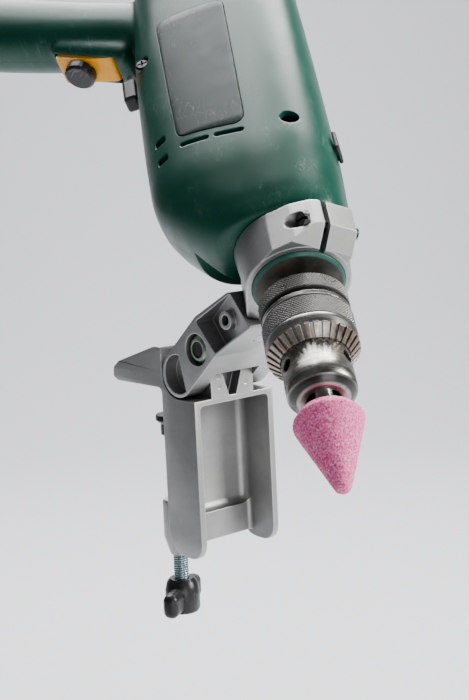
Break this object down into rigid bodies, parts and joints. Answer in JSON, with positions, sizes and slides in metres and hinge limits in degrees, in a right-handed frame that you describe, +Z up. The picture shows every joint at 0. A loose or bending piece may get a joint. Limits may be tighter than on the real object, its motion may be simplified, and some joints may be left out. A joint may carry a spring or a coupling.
{
  "type": "clamp-on drill grinding rig",
  "caption": "Electric drill held by its neck in a tilting, swivelling bench clamp, with a conical grinding stone in its keyed chuck.",
  "frame": {"origin": "on the upper jaw's clamping face, on the axis of the clamp screw", "axes": "+X along the edge of the board the clamp grips, to the operator's right; +Y into the board, away from the operator; +Z up"},
  "size_m": [0.1816, 0.3856, 0.3567],
  "materials": {
    "clamp_frame": "die-cast, as cast",
    "hinge_pin": "ground",
    "pressure_pad": "moulded",
    "clamp_screw": "zinc plated",
    "wing_knob": "moulded",
    "tilt_arm": "die-cast, as cast",
    "pinch_bolt": "black oxide",
    "pinch_nut": "zinc plated",
    "pinch_washer": "zinc plated",
    "swivel_lock_screw": "black oxide",
    "collar": "die-cast, as cast",
    "collar_clamp_screw": "black oxide",
    "housing_right": "satin moulded",
    "housing_left": "satin moulded",
    "neck_housing": "painted casting",
    "side_panel_right": "satin",
    "side_panel_left": "satin",
    "housing_screw_1": "zinc plated",
    "housing_screw_2": "zinc plated",
    "housing_screw_3": "zinc plated",
    "housing_screw_4": "zinc plated",
    "bearing_plate": "cast",
    "rear_bearing_bracket": "moulded",
    "spindle_bearing": "ground",
    "armature_front_bearing": "ground",
    "armature_rear_bearing": "ground",
    "field_stator": "laminated",
    "brush_right": "carbon",
    "brush_left": "carbon",
    "armature_shaft": "ground",
    "armature_core": "laminated",
    "commutator": "copper segments",
    "cooling_fan": "moulded",
    "spindle": "ground",
    "spindle_gear": "hardened",
    "chuck_body": "turned and knurled",
    "chuck_sleeve": "turned and knurled",
    "chuck_jaw_1": "ground",
    "chuck_jaw_2": "ground",
    "chuck_jaw_3": "ground",
    "stone_shank": "ground",
    "grinding_stone": "vitrified grit",
    "trigger": "moulded",
    "speed_wheel": "moulded",
    "switch_body": "moulded",
    "cable_inlet": "moulded",
    "reversing_lever": "moulded",
    "mode_selector": "moulded"
  },
  "bodies": {
    "clamp": {"clamp_frame": "clamp_frame", "hinge_pin": "hinge_pin"},
    "pad": {"pressure_pad": "pressure_pad"},
    "screw": {"clamp_screw": "clamp_screw", "wing_knob": "wing_knob"},
    "arm": {"tilt_arm": "tilt_arm", "pinch_bolt": "pinch_bolt", "pinch_nut": "pinch_nut", "pinch_washer": "pinch_washer", "swivel_lock_screw": "swivel_lock_screw"},
    "drill": {"collar": "collar", "collar_clamp_screw": "collar_clamp_screw", "neck_housing": "neck_housing", "housing_right": "housing_right", "housing_left": "housing_left", "side_panel_right": "side_panel_right", "side_panel_left": "side_panel_left", "housing_screw_1": "housing_screw_1", "housing_screw_2": "housing_screw_2", "housing_screw_3": "housing_screw_3", "housing_screw_4": "housing_screw_4", "bearing_plate": "bearing_plate", "rear_bearing_bracket": "rear_bearing_bracket", "spindle_bearing": "spindle_bearing", "armature_front_bearing": "armature_front_bearing", "armature_rear_bearing": "armature_rear_bearing", "field_stator": "field_stator", "brush_right": "brush_right", "brush_left": "brush_left", "switch_body": "switch_body", "cable_inlet": "cable_inlet"},
    "spindle_group": {"spindle": "spindle", "spindle_gear": "spindle_gear", "chuck_body": "chuck_body", "stone_shank": "stone_shank", "grinding_stone": "grinding_stone"},
    "sleeve": {"chuck_sleeve": "chuck_sleeve"},
    "jaw_1": {"chuck_jaw_1": "chuck_jaw_1"},
    "jaw_2": {"chuck_jaw_2": "chuck_jaw_2"},
    "jaw_3": {"chuck_jaw_3": "chuck_jaw_3"},
    "armature": {"armature_shaft": "armature_shaft", "armature_core": "armature_core", "commutator": "commutator", "cooling_fan": "cooling_fan"},
    "trigger_body": {"trigger": "trigger"},
    "wheel": {"speed_wheel": "speed_wheel"},
    "lever": {"reversing_lever": "reversing_lever"},
    "selector": {"mode_selector": "mode_selector"}
  },
  "joints": [
    {"name": "pad_travel", "type": "slide", "parent": "clamp", "child": "pad", "axis": [0, 0, 1], "range_m": [-0.033, 0.0125]},
    {"name": "screw_turn", "type": "hinge", "parent": "pad", "child": "screw", "pos_m": [0, 0, -0.1], "axis": [0, 0, 1], "range_deg": [-9510, 3610]},
    {"name": "arm_tilt", "type": "hinge", "parent": "clamp", "child": "arm", "pos_m": [0, -0.0385, 0.0081], "axis": [1, 0, 0], "range_deg": [-25, 30]},
    {"name": "collar_swivel", "type": "hinge", "parent": "arm", "child": "drill", "pos_m": [-0.00753, -0.10729, 0.06259], "axis": [0, 0.6986, -0.7155], "range_deg": [-18, 18]},
    {"name": "spindle_spin", "type": "hinge", "parent": "drill", "child": "spindle_group", "pos_m": [-0.01245, -0.11473, 0.05533], "axis": [-0.4281, -0.6466, -0.6314], "continuous": true},
    {"name": "sleeve_turn", "type": "hinge", "parent": "spindle_group", "child": "sleeve", "pos_m": [-0.01245, -0.11473, 0.05533], "axis": [-0.4281, -0.6466, -0.6314], "range_deg": [0, 1801]},
    {"name": "armature_spin", "type": "hinge", "parent": "drill", "child": "armature", "pos_m": [-0.02592, -0.10085, 0.05024], "axis": [-0.4281, -0.6466, -0.6314], "continuous": true},
    {"name": "trigger_pull", "type": "slide", "parent": "drill", "child": "trigger_body", "axis": [0.7166, 0.1892, 0.6714], "range_m": [0, 0.006], "stiffness_N_per_m": 300},
    {"name": "wheel_turn", "type": "hinge", "parent": "trigger_body", "child": "wheel", "pos_m": [0.01236, 0.07956, 0.15961], "axis": [-0.6613, -0.3157, -0.6805], "range_deg": [-135, 135]},
    {"name": "lever_swing", "type": "hinge", "parent": "drill", "child": "lever", "pos_m": [0.02072, 0.04147, 0.15005], "axis": [-0.6733, 0.6942, -0.2544], "range_deg": [-8, 8]},
    {"name": "selector_slide", "type": "slide", "parent": "drill", "child": "selector", "axis": [-0.4281, -0.6466, -0.6314], "range_m": [0, 0.006]},
    {"name": "jaw_1_slide", "type": "slide", "parent": "spindle_group", "child": "jaw_1", "axis": [0.3252, 0.5381, 0.7776], "range_m": [0, 0.006]},
    {"name": "jaw_2_slide", "type": "slide", "parent": "spindle_group", "child": "jaw_2", "axis": [0.3243, 0.79, 0.5202], "range_m": [0, 0.006]},
    {"name": "jaw_3_slide", "type": "slide", "parent": "spindle_group", "child": "jaw_3", "axis": [0.6066, 0.5692, 0.555], "range_m": [0, 0.006]}
  ],
  "couplings": [
    {"joint": "screw_turn", "follows": "pad_travel", "rad_per_m": 5026.5},
    {"joint": "armature_spin", "follows": "spindle_spin", "ratio": -4.1667},
    {"joint": "jaw_2_slide", "follows": "jaw_1_slide", "ratio": 1},
    {"joint": "jaw_3_slide", "follows": "jaw_1_slide", "ratio": 1},
    {"joint": "sleeve_turn", "follows": "jaw_1_slide", "rad_per_m": 5236}
  ]
}
